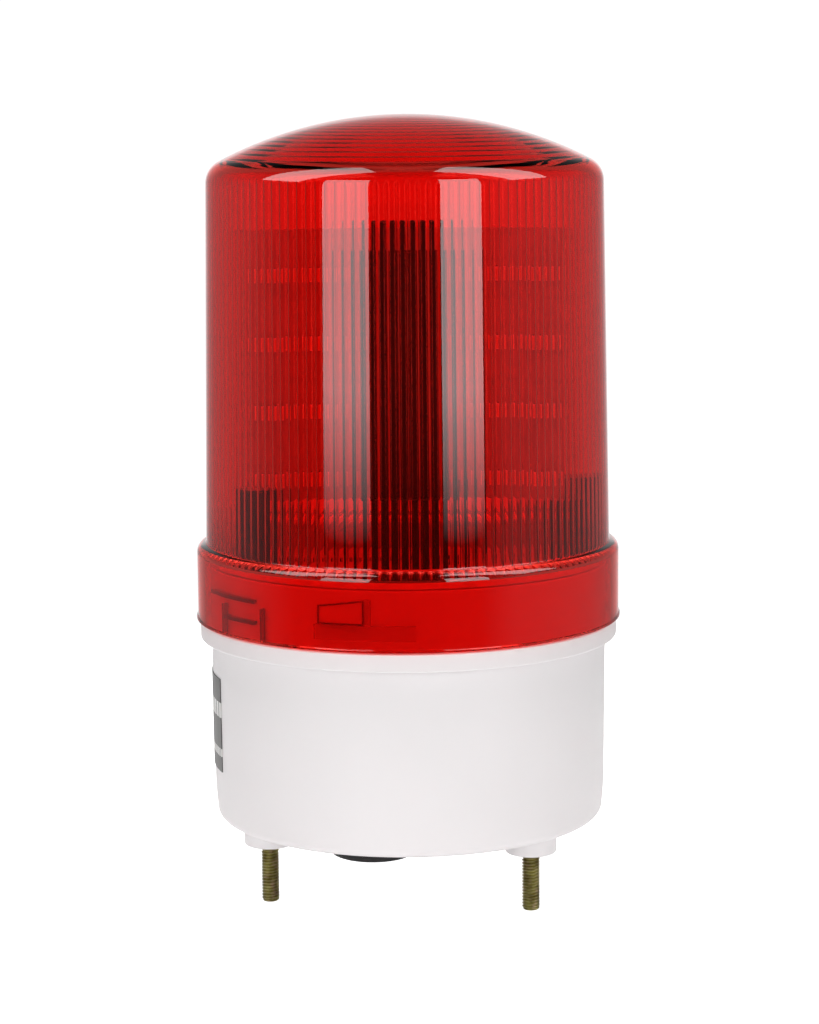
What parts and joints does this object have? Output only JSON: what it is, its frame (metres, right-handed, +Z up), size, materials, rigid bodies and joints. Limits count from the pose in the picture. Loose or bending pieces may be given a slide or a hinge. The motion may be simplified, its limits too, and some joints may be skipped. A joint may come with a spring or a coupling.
{
  "type": "alarm siren",
  "caption": "Beacon and sounder: red twist-off lens with lamp tower on a round white base with sounder, cable grommet and threaded mounting bolts.",
  "frame": {"origin": "middle of the bounding box at its bottom: the plane of the three bolt tips, under the lens axis", "axes": "+Z up along the lens axis, -Y the front, +X to the right seen from the front"},
  "size_m": [0.0956, 0.0956, 0.1752],
  "materials": {
    "red_lens": "glossy clear red polycarbonate",
    "white_housing": "fine-grained white ABS moulding",
    "black_plastic": "black moulded plastic",
    "black_rubber": "matt black rubber",
    "white_rubber": "matt white silicone rubber",
    "driver_board": "white solder-masked circuit board, smooth",
    "lamp_board": "white solder-masked circuit board",
    "grey_potting": "light grey epoxy potted block",
    "green_terminal": "green nylon terminal block",
    "yellow_zinc": "yellow-chromated zinc plate on steel, olive and brown",
    "steel": "bright zinc-plated steel",
    "brass_disc": "plain brass disc",
    "label": "dark printed film with plain bars"
  },
  "bodies": {
    "base": {"base_housing": "white_housing", "lens_seal": "white_rubber", "mounting_bolt_1": "yellow_zinc", "mounting_bolt_2": "yellow_zinc", "mounting_bolt_3": "yellow_zinc", "driver_board": "driver_board", "board_screw_1": "steel", "board_screw_2": "steel", "board_screw_3": "steel", "tower_core": "black_plastic", "lamp_board_1": "lamp_board", "lamp_board_2": "lamp_board", "lamp_board_3": "lamp_board", "capacitor_1": "black_plastic", "capacitor_2": "black_plastic", "choke_1": "grey_potting", "choke_2": "grey_potting", "supply_terminal": "green_terminal", "lamp_lead": "black_plastic", "sounder_body": "black_plastic", "sounder_disc": "brass_disc", "sounder_back": "black_plastic", "sounder_screw_1": "steel", "sounder_screw_2": "steel", "cable_grommet": "black_rubber", "label_plate": "label"},
    "lens": {"lens_cover": "red_lens"}
  },
  "joints": [
    {"name": "lens_twist", "type": "hinge", "parent": "base", "child": "lens", "pos_m": [0, 0, 0.0633], "axis": [0, 0, 1], "range_deg": [0, 18]}
  ]
}
